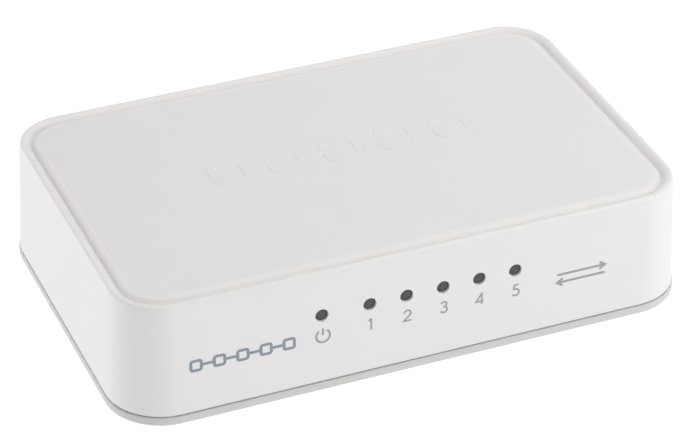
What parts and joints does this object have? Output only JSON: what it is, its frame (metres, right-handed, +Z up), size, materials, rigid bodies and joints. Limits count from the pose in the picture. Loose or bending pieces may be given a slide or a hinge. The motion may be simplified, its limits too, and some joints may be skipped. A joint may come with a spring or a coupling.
{
  "type": "desktop network switch",
  "caption": "Small white plastic network switch box with a grooved top rim, front indicator lights, and rear network sockets and power inlet.",
  "frame": {"origin": "under the middle of the case, on the plane that the feet stand on", "axes": "+Z up, the front with the indicator lights faces -Y, the sockets face +Y, +X is to the right seen from the front"},
  "size_m": [0.1204, 0.0764, 0.0275],
  "materials": {
    "case_white": "fine satin moulded white",
    "base_grey": "satin moulded light grey",
    "foot_rubber": "matt soft rubber",
    "screw_steel": "zinc plated steel",
    "board_green": "glass-epoxy board with green solder mask",
    "black_plastic": "black moulded plastic",
    "tin_plate": "folded tin plate",
    "gold_plate": "gold plated bronze wire",
    "black_aluminium": "black anodised",
    "bare_aluminium": "bare drawn can",
    "smoked_clear": "smoked clear moulding, unlit",
    "light_white": "indicator lamp body",
    "label_silver": "blank silver paper label"
  },
  "bodies": {
    "root": {"base_tray": "base_grey", "board_screw_1": "screw_steel", "board_screw_2": "screw_steel", "capacitor_1": "bare_aluminium", "capacitor_2": "bare_aluminium", "case_screw_1": "screw_steel", "case_screw_2": "screw_steel", "case_screw_3": "screw_steel", "case_screw_4": "screw_steel", "circuit_board": "board_green", "crystal_can": "bare_aluminium", "heat_sink": "black_aluminium", "indicator_led_1": "light_white", "indicator_led_2": "light_white", "indicator_led_3": "light_white", "indicator_led_4": "light_white", "indicator_led_5": "light_white", "indicator_led_power": "light_white", "light_guide": "smoked_clear", "line_transformer_1": "black_plastic", "line_transformer_2": "black_plastic", "line_transformer_3": "black_plastic", "line_transformer_4": "black_plastic", "line_transformer_5": "black_plastic", "port_1_housing": "black_plastic", "port_1_shield": "tin_plate", "port_2_housing": "black_plastic", "port_2_shield": "tin_plate", "port_3_housing": "black_plastic", "port_3_shield": "tin_plate", "port_4_housing": "black_plastic", "port_4_shield": "tin_plate", "port_5_housing": "black_plastic", "port_5_shield": "tin_plate", "power_inductor": "black_plastic", "power_socket_body": "black_plastic", "power_socket_pin": "tin_plate", "rating_label": "label_silver", "rubber_foot_1": "foot_rubber", "rubber_foot_2": "foot_rubber", "rubber_foot_3": "foot_rubber", "rubber_foot_4": "foot_rubber", "switch_chip": "black_plastic", "top_cover": "case_white", "voltage_regulator": "black_plastic"},
    "port_1_springs": {"port_1_contacts": "gold_plate"},
    "port_2_springs": {"port_2_contacts": "gold_plate"},
    "port_3_springs": {"port_3_contacts": "gold_plate"},
    "port_4_springs": {"port_4_contacts": "gold_plate"},
    "port_5_springs": {"port_5_contacts": "gold_plate"},
    "power_leaf_spring": {"power_socket_leaf": "tin_plate"}
  },
  "joints": [
    {"name": "port_1_spring_lift", "type": "hinge", "parent": "root", "child": "port_1_springs", "pos_m": [-0.0266, 0.0344, 0.01865], "axis": [-1, 0, 0], "range_deg": [0, 9], "stiffness_Nm_per_rad": 0.36},
    {"name": "port_2_spring_lift", "type": "hinge", "parent": "root", "child": "port_2_springs", "pos_m": [-0.0102, 0.0344, 0.01865], "axis": [-1, 0, 0], "range_deg": [0, 9], "stiffness_Nm_per_rad": 0.36},
    {"name": "port_3_spring_lift", "type": "hinge", "parent": "root", "child": "port_3_springs", "pos_m": [0.0062, 0.0344, 0.01865], "axis": [-1, 0, 0], "range_deg": [0, 9], "stiffness_Nm_per_rad": 0.36},
    {"name": "port_4_spring_lift", "type": "hinge", "parent": "root", "child": "port_4_springs", "pos_m": [0.0226, 0.0344, 0.01865], "axis": [-1, 0, 0], "range_deg": [0, 9], "stiffness_Nm_per_rad": 0.36},
    {"name": "port_5_spring_lift", "type": "hinge", "parent": "root", "child": "port_5_springs", "pos_m": [0.039, 0.0344, 0.01865], "axis": [-1, 0, 0], "range_deg": [0, 9], "stiffness_Nm_per_rad": 0.36},
    {"name": "power_leaf_press", "type": "hinge", "parent": "root", "child": "power_leaf_spring", "pos_m": [-0.0424, 0.0268, 0.0096], "axis": [-1, 0, 0], "range_deg": [0, 5], "stiffness_Nm_per_rad": 0.2}
  ]
}
